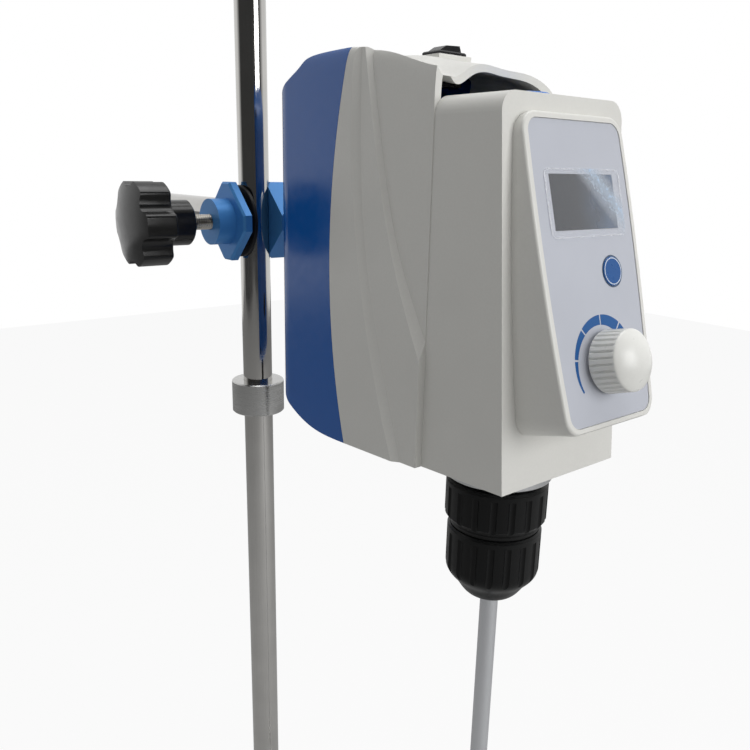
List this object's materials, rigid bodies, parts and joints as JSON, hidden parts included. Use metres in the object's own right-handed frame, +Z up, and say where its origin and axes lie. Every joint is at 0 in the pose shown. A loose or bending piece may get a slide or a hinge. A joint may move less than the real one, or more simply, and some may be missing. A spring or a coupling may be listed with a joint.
{
  "type": "overhead stirrer",
  "caption": "Overhead laboratory stirrer: drive head with sloping panel, keyless chuck, stirring shaft and impeller, held by an arm and boss head on a rod stand.",
  "frame": {"origin": "on the bench, straight below the stirring shaft", "axes": "+Z up along the stirring shaft, -Y towards the person at the control panel, +X to that person's right"},
  "size_m": [0.2, 0.475, 0.786],
  "materials": {
    "mat": "matt, fine grained",
    "plate_paint": "fine powder coat",
    "fitting_steel": "turned, satin",
    "rod_steel": "ground and polished",
    "screw_steel": "zinc plated, satin",
    "dark_screw": "blackened",
    "boss_paint": "smooth gloss paint",
    "pad_black": "moulded, matt",
    "star_black": "moulded, gloss",
    "housing_grey": "fine texture",
    "cover_blue": "gloss",
    "cap_blue": "gloss",
    "switch_black": "semi-gloss",
    "overlay_grey": "printed film",
    "window": "smoked, clear",
    "display_dark": "satin",
    "board_green": "solder mask",
    "button_blue": "gloss",
    "knob_white": "semi-gloss",
    "cast_alloy": "die cast",
    "machined_alloy": "machined",
    "seal_rubber": "matt",
    "bearing_steel": "ground",
    "belt_rubber": "matt",
    "core_steel": "laminated",
    "chuck_black": "moulded, satin",
    "chuck_steel": "ground",
    "stirrer_steel": "polished stainless"
  },
  "bodies": {
    "stand": {"base_mat": "mat", "base_plate": "plate_paint", "rod_socket": "fitting_steel", "socket_grub": "dark_screw"},
    "rod": {"stand_rod": "rod_steel"},
    "collar": {"stop_collar": "fitting_steel", "collar_grub": "dark_screw"},
    "boss": {"boss_head": "boss_paint"},
    "rod_pad_body": {"rod_pad": "pad_black"},
    "rod_clamp": {"rod_screw": "screw_steel", "rod_star_knob": "star_black"},
    "arm_pad_body": {"arm_pad": "fitting_steel"},
    "arm_clamp": {"arm_screw": "screw_steel", "arm_star_knob": "star_black"},
    "arm": {"extension_arm": "rod_steel"},
    "head": {"main_housing": "housing_grey", "rear_cover": "cover_blue", "cover_screws": "dark_screw", "power_inlet": "switch_black", "switch_frame": "switch_black", "panel_overlay": "overlay_grey", "display_window": "window", "display_module": "display_dark", "control_board": "board_green", "board_posts": "housing_grey", "encoder_body": "fitting_steel", "chassis": "machined_alloy", "chassis_screws": "screw_steel", "neck_flange": "cast_alloy", "shaft_seal": "seal_rubber", "quill": "machined_alloy", "lower_bearing": "bearing_steel", "upper_bearing": "bearing_steel", "drive_belt": "belt_rubber", "motor_can": "fitting_steel", "motor_flange": "cast_alloy", "stator": "core_steel", "drive_board": "board_green", "drive_board_posts": "housing_grey", "arm_socket": "cast_alloy"},
    "cap": {"top_cap": "cap_blue"},
    "rocker_body": {"rocker": "switch_black"},
    "button": {"round_button": "button_blue"},
    "encoder": {"encoder_rotor": "pad_black"},
    "knob": {"control_knob": "knob_white", "encoder_shaft": "fitting_steel"},
    "chuck": {"spindle": "chuck_steel", "retaining_ring": "dark_screw", "driven_pulley": "machined_alloy", "chuck_body": "chuck_steel", "upper_sleeve": "chuck_black"},
    "motor_rotor": {"rotor": "core_steel", "motor_pulley": "machined_alloy"},
    "sleeve": {"tightening_sleeve": "chuck_black", "chuck_nut": "chuck_steel"},
    "jaw_body_1": {"jaw_1": "chuck_steel"},
    "jaw_body_2": {"jaw_2": "chuck_steel"},
    "jaw_body_3": {"jaw_3": "chuck_steel"},
    "stirrer": {"stirring_shaft": "stirrer_steel", "impeller": "stirrer_steel"}
  },
  "joints": [
    {"name": "stand_swing", "type": "hinge", "parent": "stand", "child": "rod", "pos_m": [-0.026, 0.16, 0.014], "axis": [0, 0, 1], "continuous": true},
    {"name": "collar_height", "type": "slide", "parent": "rod", "child": "collar", "axis": [0, 0, 1], "range_m": [-0.4, 0.06]},
    {"name": "boss_height", "type": "slide", "parent": "rod", "child": "boss", "axis": [0, 0, 1], "range_m": [-0.065, 0.15]},
    {"name": "rod_pad_press", "type": "slide", "parent": "boss", "child": "rod_pad_body", "axis": [-1, 0, 0], "range_m": [0, 0.002]},
    {"name": "rod_clamp_screw", "type": "hinge", "parent": "rod_pad_body", "child": "rod_clamp", "pos_m": [-0.05, 0.16, 0.612], "axis": [1, 0, 0], "range_deg": [0, 577]},
    {"name": "arm_pad_press", "type": "slide", "parent": "boss", "child": "arm_pad_body", "axis": [1, 0, 0], "range_m": [0, 0.002]},
    {"name": "arm_clamp_screw", "type": "hinge", "parent": "arm_pad_body", "child": "arm_clamp", "pos_m": [0.03, 0.16, 0.612], "axis": [-1, 0, 0], "range_deg": [0, 577]},
    {"name": "arm_reach", "type": "slide", "parent": "boss", "child": "arm", "axis": [0, 1, 0], "range_m": [-0.14, 0.015]},
    {"name": "head_tilt", "type": "hinge", "parent": "arm", "child": "head", "pos_m": [0, 0.11, 0.612], "axis": [0, 1, 0], "range_deg": [-90, 90]},
    {"name": "cap_lift", "type": "slide", "parent": "head", "child": "cap", "axis": [0, 0, 1], "range_m": [0, 0.02]},
    {"name": "power_rock", "type": "hinge", "parent": "head", "child": "rocker_body", "pos_m": [0, 0.0445, 0.6859], "axis": [0, 1, 0], "range_deg": [0, 20]},
    {"name": "button_press", "type": "slide", "parent": "head", "child": "button", "axis": [0, 0.9636, -0.2672], "range_m": [0, 0.0005], "stiffness_N_per_m": 3000, "springref_m": -0.0003},
    {"name": "knob_turn", "type": "hinge", "parent": "head", "child": "encoder", "pos_m": [0, -0.04752, 0.57455], "axis": [0, -0.9636, 0.2672], "continuous": true},
    {"name": "knob_press", "type": "slide", "parent": "encoder", "child": "knob", "axis": [0, 0.9636, -0.2672], "range_m": [0, 0.0008], "stiffness_N_per_m": 2500, "springref_m": -0.0005},
    {"name": "spindle_turn", "type": "hinge", "parent": "head", "child": "chuck", "pos_m": [0, 0, 0.6], "axis": [0, 0, 1], "continuous": true},
    {"name": "motor_turn", "type": "hinge", "parent": "head", "child": "motor_rotor", "pos_m": [0, 0.062, 0.6], "axis": [0, 0, 1], "continuous": true},
    {"name": "chuck_tighten", "type": "hinge", "parent": "chuck", "child": "sleeve", "pos_m": [0, 0, 0.48], "axis": [0, 0, 1], "range_deg": [0, 1081]},
    {"name": "jaw_slide_1", "type": "slide", "parent": "chuck", "child": "jaw_body_1", "axis": [0.1392, 0, 0.9903], "range_m": [0, 0.006]},
    {"name": "jaw_slide_2", "type": "slide", "parent": "chuck", "child": "jaw_body_2", "axis": [-0.0696, 0.1205, 0.9903], "range_m": [0, 0.006]},
    {"name": "jaw_slide_3", "type": "slide", "parent": "chuck", "child": "jaw_body_3", "axis": [-0.0696, -0.1205, 0.9903], "range_m": [0, 0.006]},
    {"name": "shaft_height", "type": "slide", "parent": "chuck", "child": "stirrer", "axis": [0, 0, 1], "range_m": [-0.03, 0.15]}
  ],
  "couplings": [
    {"joint": "rod_clamp_screw", "follows": "rod_pad_press", "rad_per_m": 5026.5},
    {"joint": "arm_clamp_screw", "follows": "arm_pad_press", "rad_per_m": 5026.5},
    {"joint": "motor_turn", "follows": "spindle_turn", "ratio": 2},
    {"joint": "chuck_tighten", "follows": "jaw_slide_1", "rad_per_m": 3141.6},
    {"joint": "jaw_slide_2", "follows": "jaw_slide_1", "ratio": 1},
    {"joint": "jaw_slide_3", "follows": "jaw_slide_1", "ratio": 1}
  ]
}
